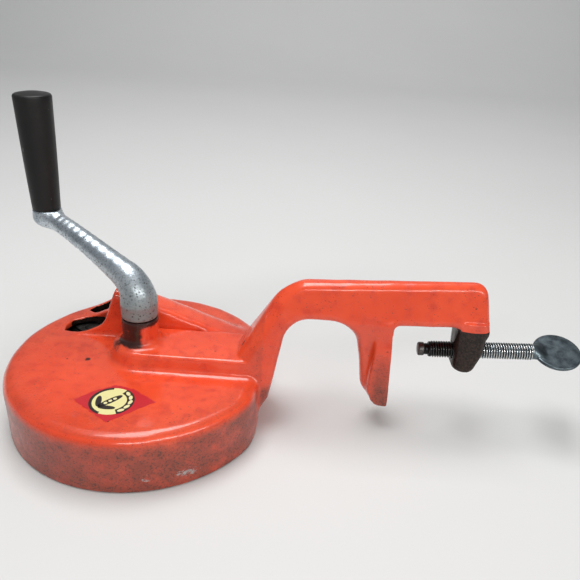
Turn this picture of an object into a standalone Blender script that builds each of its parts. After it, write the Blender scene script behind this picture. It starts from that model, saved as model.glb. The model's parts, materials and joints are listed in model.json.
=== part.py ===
"""Hand-cranked table-clamp bean slicer, as separate solids in metres, +Z up.

An open-bottomed drum casting carries a feed hood, a spindle boss and a clamp arm.
Under its top plate a disc with three knives turns on a spindle, driven by a crank
with a loose wooden grip. The arm ends in a fixed jaw and a lug with a thumb screw.

The shapes are laid out from the hub: the spindle axis is x = y = 0 and the drum's
rim is z = 0. HUB_X then shifts everything, so that the row's origin is the middle
of the whole object's footprint.
"""
import math

import bmesh
import bpy
from mathutils import Matrix, Vector

MM = 0.001
GAP = 0.3 * MM                      # kept between neighbouring pieces

# Drum
DRUM_RADIUS = 85 * MM
DRUM_HEIGHT = 38.2 * MM
DRUM_WALL = 4.5 * MM
PLATE_THICKNESS = 4.2 * MM
DRUM_CORNER = 7.6 * MM
DRUM_INNER_CORNER = 4 * MM
DRUM_FLAT_X = 78.3 * MM             # the drum's wall is flat on the arm's side
DRUM_FLAT_WALL = 3.3 * MM
PLATE_UNDERSIDE = DRUM_HEIGHT - PLATE_THICKNESS

# Spindle boss and the raised plateau that the arm grows from
SPINDLE_RADIUS = 6 * MM
BOSS_RADIUS = 11.5 * MM
BOSS_TOP = 67.2 * MM
PLATEAU_TOP = 48.9 * MM
PLATEAU_HALF_WIDTH = 17 * MM
PLATEAU_FOOT_HALF_WIDTH = 20 * MM
PLATEAU_END_X = 82 * MM

# Feed hood: a sloping roof with a rounded far shoulder, over two chutes open in front
HOOD_SLOPE = math.radians(20.6)
HOOD_ROOF = 60.2 * MM               # the roof plane's distance from the hub
HOOD_ROOF_SKIN = 3.4 * MM
HOOD_NEAR_Y = 20 * MM
SHOULDER_Y = 39.3 * MM              # where the roof turns down to the far side
SHOULDER_RADIUS = 20 * MM
SHOULDER_TILT = math.radians(40)
HOOD_RADIUS = 82 * MM
CHUTE_NEAR_SIDE = 22.2 * MM
CHUTE_PARTITION = (43.5 * MM, 48.7 * MM)
CHUTE_FAR_SIDE = 64 * MM

# Clamp arm, jaws and screw
ARM_HALF_WIDTH = 7.5 * MM
ARM_TILT = math.radians(2.55)       # the clamp is set a little nose-up
JAW_FACE = (160.2 * MM, 50 * MM)    # a point on the table side of the fixed jaw
JAW_PAD_HALF_WIDTH = 15 * MM
JAW_PAD_DEPTH = 10.5 * MM
JAW_PAD_ABOVE = 24 * MM
JAW_PAD_BELOW = 29 * MM
LUG_INNER = 199 * MM
LUG_OUTER = 217.5 * MM
LUG_HALF_WIDTH = 11 * MM
LUG_FOOT = 46 * MM
SCREW_POINT = (207 * MM, 57.7 * MM)  # where the screw's axis crosses the lug
SCREW_RADIUS = 5.1 * MM
SCREW_HOLE_RADIUS = 5.5 * MM
SCREW_TIP_X = 178 * MM
SCREW_THREAD_END_X = 251 * MM
THUMB_RADIUS = 15 * MM
THUMB_THICKNESS = 3.2 * MM
THUMB_TWIST = math.radians(17)      # how far the thumb plate has been turned
THUMB_END_X = 281 * MM

# Cutting disc
DISC_RADIUS = 74 * MM
DISC_TOP = 31.4 * MM
DISC_THICKNESS = 4 * MM
DISC_HUB_RADIUS = 13 * MM
DISC_HUB_BOTTOM = 19.6 * MM
KNIFE_COUNT = 3
KNIFE_LENGTH = 50 * MM
KNIFE_WIDTH = 17 * MM
KNIFE_THICKNESS = 1.2 * MM
KNIFE_MIDDLE_RADIUS = 44.5 * MM
KNIFE_OVERHANG = 6 * MM
SLOT_WIDTH = 10 * MM
KNIFE_SCREW_SPACING = 34 * MM
KNIFE_SCREW_RADIUS = 1.75 * MM
KNIFE_SCREW_HEAD_RADIUS = 3.2 * MM

# Crank and grip
CRANK_AZIMUTH = math.radians(150)   # direction of the crank from the hub, at rest
CRANK_BOTTOM = 67.6 * MM
CRANK_BEND_RADIUS = 17 * MM
CRANK_BEND_START = 77 * MM
CRANK_RISE = math.radians(22)
CRANK_RADIUS = 11.5 * MM
CRANK_END_RADIUS = 5.2 * MM
CRANK_TAPER_LENGTH = 38 * MM
CRANK_REACH = 79.8 * MM
CRANK_END_Z = 115.4 * MM
CRANK_MIDDLE = (59.7 * MM, 112.7 * MM)
CRANK_EYE_RADIUS = 8.8 * MM
CRANK_EYE_BOTTOM = 110.3 * MM
CRANK_EYE_TOP = 120.2 * MM
GRIP_BOTTOM = 120.5 * MM
GRIP_TOP = 194.4 * MM
GRIP_BOTTOM_RADIUS = 8.85 * MM
GRIP_TOP_RADIUS = 11.45 * MM
GRIP_PIN_RADIUS = 3 * MM
GRIP_PIN_TOP = 180 * MM

# The row's origin is midway between the drum's left side and the thumb plate's tip
HUB_X = -(THUMB_END_X - DRUM_RADIUS) / 2

ROUND_STEPS = 96
SMALL_STEPS = 32
BORE_TURN = math.radians(1.7)       # keeps the bore's facets off the plate's own edges
MERGE = 0.00001

COLOURS = {
    "red_paint": ((0.72, 0.09, 0.035), 0.38, 0.0),
    "tinned_steel": ((0.62, 0.64, 0.66), 0.32, 1.0),
    "dark_steel": ((0.16, 0.15, 0.145), 0.48, 0.9),
    "blued_steel": ((0.20, 0.25, 0.28), 0.42, 0.85),
    "knife_steel": ((0.66, 0.66, 0.65), 0.25, 1.0),
    "black_wood": ((0.02, 0.019, 0.018), 0.45, 0.0),
}


def clear_scene():
    for old in list(bpy.data.objects):
        bpy.data.objects.remove(old, do_unlink=True)


def new_collection(name):
    collection = bpy.data.collections.new(name)
    bpy.context.scene.collection.children.link(collection)
    return collection


def make_material(node, finish):
    colour, roughness, metallic = COLOURS[finish]
    material = bpy.data.materials.new(node)
    material.use_nodes = True
    shader = material.node_tree.nodes["Principled BSDF"]
    shader.inputs["Base Color"].default_value = (*colour, 1)
    shader.inputs["Roughness"].default_value = roughness
    shader.inputs["Metallic"].default_value = metallic
    return material


# ---------------------------------------------------------------- shape helpers

def place(obj, cutter=False, location=(0, 0, 0), rotation=(0, 0, 0), parent=None):
    """Put an object in its collection, under the hub's empty."""
    (CUTTERS if cutter else PARTS).objects.link(obj)
    if cutter:
        obj.hide_render = True
        obj.display_type = 'WIRE'
    obj.parent = parent or HUB
    obj.location = location
    obj.rotation_euler = rotation
    return obj


def finish_part(obj, finish, smooth_angle=35):
    obj.data.materials.clear()
    obj.data.materials.append(make_material(obj.name, finish))
    obj.data.shade_smooth()
    obj.data.set_sharp_from_angle(angle=math.radians(smooth_angle))
    return obj


def mesh_object(name, bm):
    mesh = bpy.data.meshes.new(name)
    bm.to_mesh(mesh)
    bm.free()
    return bpy.data.objects.new(name, mesh)


def arc(centre, radius, start, end, steps):
    """Points along an arc, angles in degrees."""
    angles = [math.radians(start + (end - start) * i / steps) for i in range(steps + 1)]
    return [(centre[0] + radius * math.cos(a), centre[1] + radius * math.sin(a)) for a in angles]


def turned(name, profile, steps=SMALL_STEPS):
    """A solid of revolution about Z. The profile (radius, z) runs down the outer side.

    A profile that starts and ends on the axis makes a solid; a closed one makes a ring.
    """
    count = len(profile)
    edges = [(i, i + 1) for i in range(count - 1)]
    if profile[0][0] > 0:
        edges.append((count - 1, 0))
    mesh = bpy.data.meshes.new(name)
    mesh.from_pydata([(r, 0, z) for r, z in profile], edges, [])
    obj = bpy.data.objects.new(name, mesh)
    screw = obj.modifiers.new("turn", 'SCREW')
    screw.steps = screw.render_steps = steps
    screw.use_merge_vertices = True
    screw.merge_threshold = MERGE
    return obj


def cylinder(name, radius, low, high, steps=SMALL_STEPS, top_radius=None):
    """A cylinder or cone along Z, from low to high."""
    bm = bmesh.new()
    bmesh.ops.create_cone(bm, cap_ends=True, segments=steps, radius1=radius,
                          radius2=radius if top_radius is None else top_radius, depth=high - low)
    bmesh.ops.translate(bm, verts=bm.verts, vec=(0, 0, (low + high) / 2))
    return mesh_object(name, bm)


def ring(name, inner, outer, low, high, steps=SMALL_STEPS):
    return turned(name, [(inner, high), (outer, high), (outer, low), (inner, low)], steps)


def box(name, low, high):
    bm = bmesh.new()
    size = [h - l for l, h in zip(low, high)]
    middle = [(h + l) / 2 for l, h in zip(low, high)]
    bmesh.ops.create_cube(bm, size=1, matrix=Matrix.Translation(middle) @ Matrix.Diagonal((*size, 1)))
    return mesh_object(name, bm)


def rounded_outline(corners, arc_steps=6):
    """A closed outline from (x, z, radius) corners, each corner rounded by an arc."""
    points = []
    for i, (x, z, radius) in enumerate(corners):
        here = Vector((x, z))
        to_last = (Vector(corners[i - 1][:2]) - here).normalized()
        to_next = (Vector(corners[(i + 1) % len(corners)][:2]) - here).normalized()
        if radius == 0:
            points.append(tuple(here))
            continue
        half = to_last.angle(to_next) / 2
        centre = here + (to_last + to_next).normalized() * radius / math.sin(half)
        start = here + to_last * radius / math.tan(half) - centre
        turn = (here + to_next * radius / math.tan(half) - centre).angle_signed(start)
        for step in range(arc_steps + 1):
            points.append(tuple(centre + Matrix.Rotation(turn * step / arc_steps, 2) @ start))
    return points


def plate(name, outline, thickness):
    """A flat outline (x, z) in the XZ plane, thickened about y = 0, as a mesh."""
    curve = bpy.data.curves.new(name, 'CURVE')
    curve.dimensions = '2D'
    curve.fill_mode = 'BOTH'
    curve.extrude = thickness / 2
    spline = curve.splines.new('POLY')
    spline.points.add(len(outline) - 1)
    for point, (x, z) in zip(spline.points, outline):
        point.co = (x, z, 0, 1)
    spline.use_cyclic_u = True
    return curve_to_mesh(name, curve, Matrix.Rotation(math.pi / 2, 4, 'X'))


def curve_to_mesh(name, curve, turn=Matrix.Identity(4)):
    """A curve as a closed mesh object, with its caps welded."""
    guide = bpy.data.objects.new(name + "_curve", curve)
    bpy.context.scene.collection.objects.link(guide)
    bpy.context.view_layer.update()
    mesh = bpy.data.meshes.new_from_object(guide.evaluated_get(bpy.context.evaluated_depsgraph_get()))
    bpy.data.objects.remove(guide, do_unlink=True)
    bm = bmesh.new()
    bm.from_mesh(mesh)
    bpy.data.meshes.remove(mesh)
    bmesh.ops.remove_doubles(bm, verts=bm.verts, dist=MERGE)
    bmesh.ops.transform(bm, matrix=turn, verts=bm.verts)
    bmesh.ops.recalc_face_normals(bm, faces=bm.faces)
    return mesh_object(name, bm)


def bevel(obj, width, segments=2, angle=40):
    modifier = obj.modifiers.new("bevel", 'BEVEL')
    modifier.width = width
    modifier.segments = segments
    modifier.limit_method = 'ANGLE'
    modifier.angle_limit = math.radians(angle)
    return obj


def combine(target, tool, operation):
    modifier = target.modifiers.new(operation.lower() + "_" + tool.name, 'BOOLEAN')
    modifier.operation = operation
    modifier.object = tool
    modifier.solver = 'EXACT'


def join(target, tool, **where):
    combine(target, place(tool, cutter=True, **where), 'UNION')


def cut(target, tool, **where):
    combine(target, place(tool, cutter=True, **where), 'DIFFERENCE')


# ---------------------------------------------------------------- the casting

def drum_shell():
    """The open-bottomed drum: rings round the spindle's axis, each flattened on the arm's side."""
    inner_radius = DRUM_RADIUS - DRUM_WALL
    outer_corner = (DRUM_RADIUS - DRUM_CORNER, DRUM_HEIGHT - DRUM_CORNER)
    inner_corner = (inner_radius - DRUM_INNER_CORNER, PLATE_UNDERSIDE - DRUM_INNER_CORNER)
    outer = arc(outer_corner, DRUM_CORNER, 90, 0, 6) + [(DRUM_RADIUS, 0)]
    inner = [(inner_radius, 0)] + arc(inner_corner, DRUM_INNER_CORNER, 0, 90, 3)
    rings = [(radius, z, DRUM_RADIUS - DRUM_FLAT_X) for radius, z in outer]
    rings += [(radius, z, inner_radius - DRUM_FLAT_X + DRUM_FLAT_WALL) for radius, z in inner]
    bm = bmesh.new()
    loops = [[bm.verts.new((*flattened(radius, flat, step), z)) for step in range(ROUND_STEPS)]
             for radius, z, flat in rings]
    bm.faces.new(loops[0])
    bm.faces.new(loops[-1])
    for upper, lower in zip(loops, loops[1:]):
        for step in range(ROUND_STEPS):
            after = (step + 1) % ROUND_STEPS
            bm.faces.new((upper[step], upper[after], lower[after], lower[step]))
    bmesh.ops.recalc_face_normals(bm, faces=bm.faces)
    return mesh_object("housing", bm)


def flattened(radius, flat, step):
    """A point (x, y) on a circle whose +X side is cut back by flat, the two corners eased."""
    angle = math.tau * step / ROUND_STEPS
    reach = radius
    if math.cos(angle) > 0.5:
        limit = (radius - flat) / math.cos(angle)
        ease = max(3 * MM - abs(radius - limit), 0)
        reach = min(radius, limit) - ease ** 2 / (12 * MM)
    return reach * math.cos(angle), reach * math.sin(angle)


def plateau():
    """The raised bar that runs from round the boss out to the arm, with drafted sides."""
    outline = arc((0, 0), PLATEAU_HALF_WIDTH, 90, 270, 12)
    outline += [(PLATEAU_END_X, -PLATEAU_HALF_WIDTH), (PLATEAU_END_X, PLATEAU_HALF_WIDTH)]
    low, high = PLATE_UNDERSIDE + 2 * MM, PLATEAU_TOP
    slab = plate("plateau", outline, high - low)
    draft = (PLATEAU_FOOT_HALF_WIDTH - PLATEAU_HALF_WIDTH) / PLATEAU_HALF_WIDTH
    for vertex in slab.data.vertices:
        x, y, z = vertex.co.x, vertex.co.z, vertex.co.y
        spread = 1 + (draft if z < 0 else 0)
        vertex.co = (x * spread if x < 0 else x, -y * spread, z + (low + high) / 2)
    bm = bmesh.new()
    bm.from_mesh(slab.data)
    bmesh.ops.recalc_face_normals(bm, faces=bm.faces)
    bm.to_mesh(slab.data)
    bm.free()
    return bevel(slab, 1.5 * MM, segments=2)


def slab(name, outline, low, high):
    """A flat outline (x, y) made solid from low to high."""
    body = plate(name, outline, high - low)
    lift = Matrix.Translation((0, 0, (low + high) / 2))
    body.data.transform(lift @ Matrix.Rotation(-math.pi / 2, 4, 'X'))
    return body


def under_roof(name, near_y, skin):
    """What lies under the hood's roof, less a skin: a long bar, its top along the slope."""
    foot = 62 * MM
    turn_y = SHOULDER_Y - skin * math.tan(SHOULDER_TILT / 2)
    section = [(near_y, -foot, 0), (near_y, -skin, 0), (turn_y, -skin, SHOULDER_RADIUS - skin),
               (turn_y + (foot - skin) / math.tan(SHOULDER_TILT), -foot, 0)]
    bar = plate(name, rounded_outline(section, 8), 180 * MM)
    for vertex in bar.data.vertices:
        across, along, up = vertex.co
        vertex.co = (-along, across, up)
    return bar


def set_on_slope(bar):
    """Place a bar made by under_roof, as a cutter."""
    where = (HOOD_ROOF * math.sin(HOOD_SLOPE), 0, HOOD_ROOF * math.cos(HOOD_SLOPE))
    return place(bar, cutter=True, location=where, rotation=(0, HOOD_SLOPE, 0))


def hood():
    """The feed hood: a concave mouth, a roof sloping down to the top plate, a far shoulder."""
    corners = [(-20.4, 76, 0), (-31.6, 46.3, 14), (-55, 35.1, 0), (75, 35.1, 0), (75, 76, 0)]
    outline = rounded_outline([(x * MM, z * MM, r * MM) for x, z, r in corners])
    body = place(plate("hood", outline, 160 * MM), cutter=True)
    roof = bevel(under_roof("hood_roof", HOOD_NEAR_Y, 0), 2.5 * MM, segments=3, angle=50)
    combine(body, set_on_slope(roof), 'INTERSECT')
    limit = cylinder("hood_limit", HOOD_RADIUS, 0, 90 * MM, ROUND_STEPS)
    combine(body, place(limit, cutter=True), 'INTERSECT')
    return body


def chute_outlines():
    """The two chutes seen from above; their mouths are rounded ovals."""
    near_wall, far_wall = CHUTE_PARTITION
    near = [(-60.5 * MM, 23.6 * MM, 1 * MM), (-50 * MM, CHUTE_NEAR_SIDE, 6 * MM), (40 * MM, CHUTE_NEAR_SIDE, 2 * MM),
            (40 * MM, near_wall, 2 * MM), (-50 * MM, near_wall, 8 * MM), (-59 * MM, 38 * MM, 5 * MM),
            (-61.5 * MM, 30 * MM, 5 * MM)]
    far = [(-46.5 * MM, far_wall, 5 * MM), (28 * MM, far_wall, 2 * MM), (28 * MM, CHUTE_FAR_SIDE, 2 * MM),
           (-41 * MM, CHUTE_FAR_SIDE, 4 * MM), (-50 * MM, 58.8 * MM, 3 * MM), (-53.4 * MM, 54 * MM, 1 * MM)]
    return [rounded_outline(near), rounded_outline(far)]


def chute_cutter(name, outline):
    """A chute: down through the top plate, and up to the underside of the hood's roof."""
    chute = place(slab(name, outline, 30 * MM, 90 * MM), cutter=True)
    combine(chute, set_on_slope(under_roof(name + "_roof", 10 * MM, HOOD_ROOF_SKIN)), 'INTERSECT')
    return chute


def arm_web():
    """The upright web of the arm: from the plateau, over the arch, to both jaws."""
    corners = [
        (57, 42, 0), (63, 48.9, 14), (91.5, 98.6, 26), (213.5, 105.6, 9), (218.5, 74, 3), (216.5, 68, 3),
        (200, 68, 2), (198.5, 77.6, 3), (158.5, 75.9, 3), (161, 23.4, 2), (152.5, 22.4, 5), (144.4, 29, 12),
        (141, 50, 18), (135, 76.5, 19), (94.5, 76.8, 17), (84.3, 22.5, 3), (79, 13.5, 2), (76.8, 12, 0),
        (76.8, 35, 0), (60, 36, 0),
    ]
    outline = rounded_outline([(x * MM, z * MM, r * MM) for x, z, r in corners])
    return bevel(plate("arm_web", outline, 2 * ARM_HALF_WIDTH), 3 * MM, segments=2, angle=50)


def arm_root():
    """The arm's broad root, as wide as the plateau at its foot and as the web at its top."""
    corners = [(64.5, 40, 0), (64.5, 49.5, 8), (84.5, 84, 6), (97, 84, 0), (90.5, 62, 40), (83.9, 25, 2),
               (79, 17, 0), (77, 15, 0), (77, 35.5, 0)]
    root = plate("arm_root", rounded_outline([(x * MM, z * MM, r * MM) for x, z, r in corners]), 2)
    top, foot = 86 * MM, 36 * MM
    for vertex in root.data.vertices:
        rise = (vertex.co.z - foot) / (top - foot)
        half_width = PLATEAU_FOOT_HALF_WIDTH + (ARM_HALF_WIDTH - 1 * MM - PLATEAU_FOOT_HALF_WIDTH) * rise
        vertex.co.y = math.copysign(min(half_width, PLATEAU_FOOT_HALF_WIDTH), vertex.co.y)
    return root


def jaw_pad():
    """The broad pad on the fixed jaw; its flat side is the face that meets the table."""
    pad = box("jaw_pad", (-JAW_PAD_DEPTH, -JAW_PAD_HALF_WIDTH, -JAW_PAD_BELOW),
              (0, JAW_PAD_HALF_WIDTH, JAW_PAD_ABOVE))
    for vertex in pad.data.vertices:
        if vertex.co.x < -JAW_PAD_DEPTH / 2:
            vertex.co.y *= 0.55
    return bevel(pad, 1.2 * MM, segments=2)


def screw_lug():
    """The lug under the arm's end that carries the thumb screw."""
    corners = [(LUG_INNER - 0.8 * MM, 83 * MM, 1 * MM), (LUG_INNER + 1.2 * MM, LUG_FOOT, 3 * MM),
               (212 * MM, LUG_FOOT, 6 * MM), (LUG_OUTER, 66 * MM, 8 * MM), (LUG_OUTER - 0.4 * MM, 83 * MM, 1 * MM)]
    return bevel(plate("screw_lug", rounded_outline(corners), 2 * LUG_HALF_WIDTH), 3 * MM, segments=3)


def make_housing():
    housing = place(drum_shell())
    join(housing, plateau())
    join(housing, cylinder("boss", BOSS_RADIUS, PLATE_UNDERSIDE + 1 * MM, BOSS_TOP, 48))
    combine(housing, hood(), 'UNION')
    join(housing, arm_web())
    join(housing, arm_root())
    join(housing, jaw_pad(), location=(JAW_FACE[0], 0, JAW_FACE[1]), rotation=(0, -ARM_TILT, 0))
    join(housing, screw_lug())
    for number, outline in enumerate(chute_outlines(), start=1):
        combine(housing, chute_cutter("chute_%d" % number, outline), 'DIFFERENCE')
    cut(housing, cylinder("spindle_bore", SPINDLE_RADIUS + GAP, 0, 90 * MM, 48), rotation=(0, 0, BORE_TURN))
    cut(housing, cylinder("screw_hole", SCREW_HOLE_RADIUS, -20 * MM, 20 * MM, 48),
        location=(SCREW_POINT[0], 0, SCREW_POINT[1]), rotation=(0, math.pi / 2 - ARM_TILT, 0))
    return finish_part(housing, "red_paint")


# ---------------------------------------------------------------- the cutting disc

def knife_frame(number):
    """The empty at one knife's middle, on the disc's upper face, +X pointing outwards."""
    angle = math.radians(360 / KNIFE_COUNT * (number - 1) + 20)
    empty = place(bpy.data.objects.new("knife_seat_%d" % number, None),
                  location=(KNIFE_MIDDLE_RADIUS * math.cos(angle), KNIFE_MIDDLE_RADIUS * math.sin(angle),
                            DISC_TOP), rotation=(0, 0, angle), parent=ROTOR)
    empty.empty_display_size = 10 * MM
    return empty


def knife_screw_places():
    """Where a knife's two screws stand, in its seat's frame."""
    y = KNIFE_WIDTH / 2 - 4 * MM
    return [(-KNIFE_SCREW_SPACING / 2, y, 0), (KNIFE_SCREW_SPACING / 2, y, 0)]


def make_disc(seats):
    bottom = DISC_TOP - DISC_THICKNESS
    bore = SPINDLE_RADIUS + GAP
    profile = [(bore, DISC_TOP), (DISC_RADIUS, DISC_TOP), (DISC_RADIUS, bottom), (DISC_HUB_RADIUS, bottom),
               (DISC_HUB_RADIUS, DISC_HUB_BOTTOM), (bore, DISC_HUB_BOTTOM)]
    disc = place(turned("cutter_disc", profile, ROUND_STEPS), parent=ROTOR)
    for number, seat in enumerate(seats, start=1):
        front = -KNIFE_WIDTH / 2 + KNIFE_OVERHANG
        slot = box("slot_%d" % number, (-KNIFE_LENGTH / 2, front - SLOT_WIDTH, -2 * DISC_THICKNESS),
                   (KNIFE_LENGTH / 2, front, DISC_THICKNESS))
        cut(disc, slot, parent=seat)
        for index, where in enumerate(knife_screw_places()):
            hole = cylinder("tapping_%d_%d" % (number, index), KNIFE_SCREW_RADIUS + GAP,
                            -2 * DISC_THICKNESS, DISC_THICKNESS, 16)
            cut(disc, hole, location=where, parent=seat)
    return finish_part(disc, "tinned_steel")


def make_knife(number, seat):
    """A flat blade with one bevelled edge and two countersunk holes."""
    low, high = GAP, GAP + KNIFE_THICKNESS
    half, edge = KNIFE_LENGTH / 2, KNIFE_WIDTH / 2
    knife = place(box("knife_%d" % number, (-half, -edge, low), (half, edge, high)), parent=seat)
    for vertex in knife.data.vertices:
        if vertex.co.y < 0 and vertex.co.z < (low + high) / 2:
            vertex.co.y += 3 * MM
    for index, where in enumerate(knife_screw_places()):
        hole = screw_shape("knife_%d_hole_%d" % (number, index), GAP)
        cut(knife, hole, location=where, parent=seat)
    return finish_part(knife, "knife_steel")


def screw_shape(name, extra=0.0):
    """A countersunk screw, head up and flush with the knife; extra widens it for a hole."""
    top = GAP + KNIFE_THICKNESS
    neck = GAP if extra == 0 else 0
    shank, head = KNIFE_SCREW_RADIUS + extra, KNIFE_SCREW_HEAD_RADIUS + extra
    lip = top + (1 * MM if extra else 0)
    profile = [(0, lip), (head, lip), (head, top - 0.1 * MM), (shank, neck), (shank, -DISC_THICKNESS),
               (0, -DISC_THICKNESS)]
    return turned(name, profile, 16)


def make_knife_screw(name, seat, where):
    screw = place(screw_shape(name), location=where, parent=seat)
    top = GAP + KNIFE_THICKNESS
    slot = box(name + "_slot", (-4 * MM, -0.35 * MM, top - 0.4 * MM), (4 * MM, 0.35 * MM, top + 1 * MM))
    cut(screw, slot, location=where, parent=seat)
    return finish_part(screw, "dark_steel")


def make_rotor():
    seats = [knife_frame(number) for number in range(1, KNIFE_COUNT + 1)]
    make_disc(seats)
    for number, seat in enumerate(seats, start=1):
        make_knife(number, seat)
        for side, where in zip(("inner", "outer"), knife_screw_places()):
            make_knife_screw("knife_screw_%d_%s" % (number, side), seat, where)
    washer_inner = SPINDLE_RADIUS + GAP
    thrust = ring("thrust_washer", washer_inner, 12 * MM, DISC_TOP + GAP, PLATE_UNDERSIDE - GAP)
    finish_part(place(thrust, parent=ROTOR), "tinned_steel")
    washer_top = DISC_HUB_BOTTOM - GAP
    washer_bottom = washer_top - 1.6 * MM
    washer = ring("disc_washer", washer_inner, 11.5 * MM, washer_bottom, washer_top)
    finish_part(place(washer, parent=ROTOR), "dark_steel")
    nut_top = washer_bottom - GAP
    nut = cylinder("disc_nut", 11 * MM, nut_top - 8 * MM, nut_top, 6)
    cut(place(nut, parent=ROTOR), cylinder("nut_bore", washer_inner, 0, 60 * MM), parent=ROTOR)
    finish_part(nut, "dark_steel", smooth_angle=20)
    spindle = turned("spindle", [(0, 84 * MM), (SPINDLE_RADIUS - 0.8 * MM, 84 * MM),
                                 (SPINDLE_RADIUS, 83.2 * MM), (SPINDLE_RADIUS, 8 * MM),
                                 (SPINDLE_RADIUS - 0.8 * MM, 7.2 * MM), (0, 7.2 * MM)])
    finish_part(place(spindle, parent=ROTOR), "dark_steel")


# ---------------------------------------------------------------- crank and grip

def crank_path():
    """The crank's centre line (reach, z) and its radius at each point."""
    start_z, bend = CRANK_BEND_START, CRANK_BEND_RADIUS
    line = [(0, CRANK_BOTTOM)]
    line += arc((bend, start_z), bend, 180, 90 + math.degrees(CRANK_RISE), 8)
    first, control = Vector(line[-1]), Vector(CRANK_MIDDLE)
    last = Vector((CRANK_REACH, CRANK_END_Z))
    for i in range(1, 13):
        t = i / 12
        line.append(tuple(first * (1 - t) ** 2 + control * 2 * t * (1 - t) + last * t ** 2))
    radii, run = [CRANK_RADIUS], 0.0
    for i in range(1, len(line)):
        if i > 1:
            run += (Vector(line[i]) - Vector(line[i - 1])).length
        taper = math.exp(-run / CRANK_TAPER_LENGTH)
        radii.append(CRANK_END_RADIUS + (CRANK_RADIUS - CRANK_END_RADIUS) * taper)
    radii[-1] = 4 * MM
    return line, radii


def make_crank():
    line, radii = crank_path()
    curve = bpy.data.curves.new("crank", 'CURVE')
    curve.dimensions = '3D'
    curve.bevel_depth = 1.0
    curve.bevel_resolution = 6
    curve.use_fill_caps = True
    spline = curve.splines.new('POLY')
    spline.points.add(len(line) - 1)
    for point, (reach, z), radius in zip(spline.points, line, radii):
        point.co = (reach, 0, z, 1)
        point.radius = radius
    crank = place(curve_to_mesh("crank", curve), parent=CRANK_PLANE)
    eye = [(0, CRANK_EYE_TOP)] + [(CRANK_EYE_RADIUS, CRANK_EYE_TOP)]
    eye += arc((CRANK_EYE_RADIUS - 4 * MM, CRANK_EYE_BOTTOM + 4 * MM), 4 * MM, 0, -90, 4)
    eye += [(0, CRANK_EYE_BOTTOM)]
    join(crank, turned("crank_eye", eye), location=(CRANK_REACH, 0, 0), parent=CRANK_PLANE)
    cut(crank, cylinder("socket", SPINDLE_RADIUS + GAP, 60 * MM, 84.3 * MM), parent=CRANK_PLANE)
    cut(crank, cylinder("pin_hole", GRIP_PIN_RADIUS + GAP, 100 * MM, 130 * MM),
        location=(CRANK_REACH, 0, 0), parent=CRANK_PLANE)
    return finish_part(crank, "tinned_steel", smooth_angle=50)


def make_grip():
    """The loose wooden grip and the pin it turns on."""
    pin = turned("grip_pin", [(0, GRIP_PIN_TOP), (GRIP_PIN_RADIUS - 0.5 * MM, GRIP_PIN_TOP),
                              (GRIP_PIN_RADIUS, GRIP_PIN_TOP - 0.5 * MM),
                              (GRIP_PIN_RADIUS, CRANK_EYE_BOTTOM), (0, CRANK_EYE_BOTTOM)])
    finish_part(place(pin, parent=GRIP_AXIS), "dark_steel")
    dome = 1.4 * MM
    profile = [(0, GRIP_TOP), (GRIP_TOP_RADIUS * 0.6, GRIP_TOP - dome * 0.3),
               (GRIP_TOP_RADIUS - 1 * MM, GRIP_TOP - dome), (GRIP_TOP_RADIUS, GRIP_TOP - 3 * MM),
               (GRIP_BOTTOM_RADIUS, GRIP_BOTTOM + 1 * MM), (GRIP_BOTTOM_RADIUS - 0.8 * MM, GRIP_BOTTOM),
               (0, GRIP_BOTTOM)]
    grip = place(turned("grip", profile, 48), parent=GRIP_AXIS)
    cut(grip, cylinder("grip_bore", GRIP_PIN_RADIUS + GAP, 110 * MM, GRIP_PIN_TOP + GAP), parent=GRIP_AXIS)
    return finish_part(grip, "black_wood")


# ---------------------------------------------------------------- clamp screw

def make_clamp_screw():
    """The thumb screw along its own axis; its local +Z points out to the thumb plate."""
    tip = 0.0
    button_end = 4 * MM
    neck_end = 6.5 * MM
    thread_end = (SCREW_THREAD_END_X - SCREW_TIP_X) / math.cos(ARM_TILT)
    outer_end = (THUMB_END_X - SCREW_TIP_X) / math.cos(ARM_TILT)
    neck_radius, core_radius = 3.2 * MM, 2 * MM
    screw_profile = [(0, thread_end + 5 * MM), (3 * MM, thread_end + 5 * MM), (SCREW_RADIUS, thread_end),
                     (SCREW_RADIUS, neck_end + 1.2 * MM), (neck_radius, neck_end),
                     (neck_radius, button_end + GAP), (core_radius, button_end + GAP),
                     (core_radius, 1.5 * MM), (0, 1.5 * MM)]
    screw = place(turned("clamp_screw", screw_profile, 48), parent=SCREW_AXIS)
    thumb = bevel(cylinder("thumb_plate", THUMB_RADIUS, -THUMB_THICKNESS / 2, THUMB_THICKNESS / 2, 48),
                  0.9 * MM, segments=2)
    join(screw, thumb, location=(0, 0, outer_end - THUMB_RADIUS),
         rotation=(math.pi / 2, 0, math.pi / 2 + THUMB_TWIST), parent=SCREW_AXIS)
    finish_part(screw, "blued_steel")
    button = [(0, 1.5 * MM - GAP), (core_radius + GAP, 1.5 * MM - GAP), (core_radius + GAP, button_end),
              (3.6 * MM, button_end), (4 * MM, button_end - 0.6 * MM), (4 * MM, 1 * MM),
              (3.4 * MM, tip), (0, tip)]
    finish_part(place(turned("screw_tip", button), parent=SCREW_AXIS), "dark_steel")


# ---------------------------------------------------------------- assembly

def empty_at(name, location=(0, 0, 0), rotation=(0, 0, 0), parent=None):
    empty = bpy.data.objects.new(name, None)
    PARTS.objects.link(empty)
    empty.empty_display_size = 20 * MM
    empty.parent = parent
    empty.location = location
    empty.rotation_euler = rotation
    return empty


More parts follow.
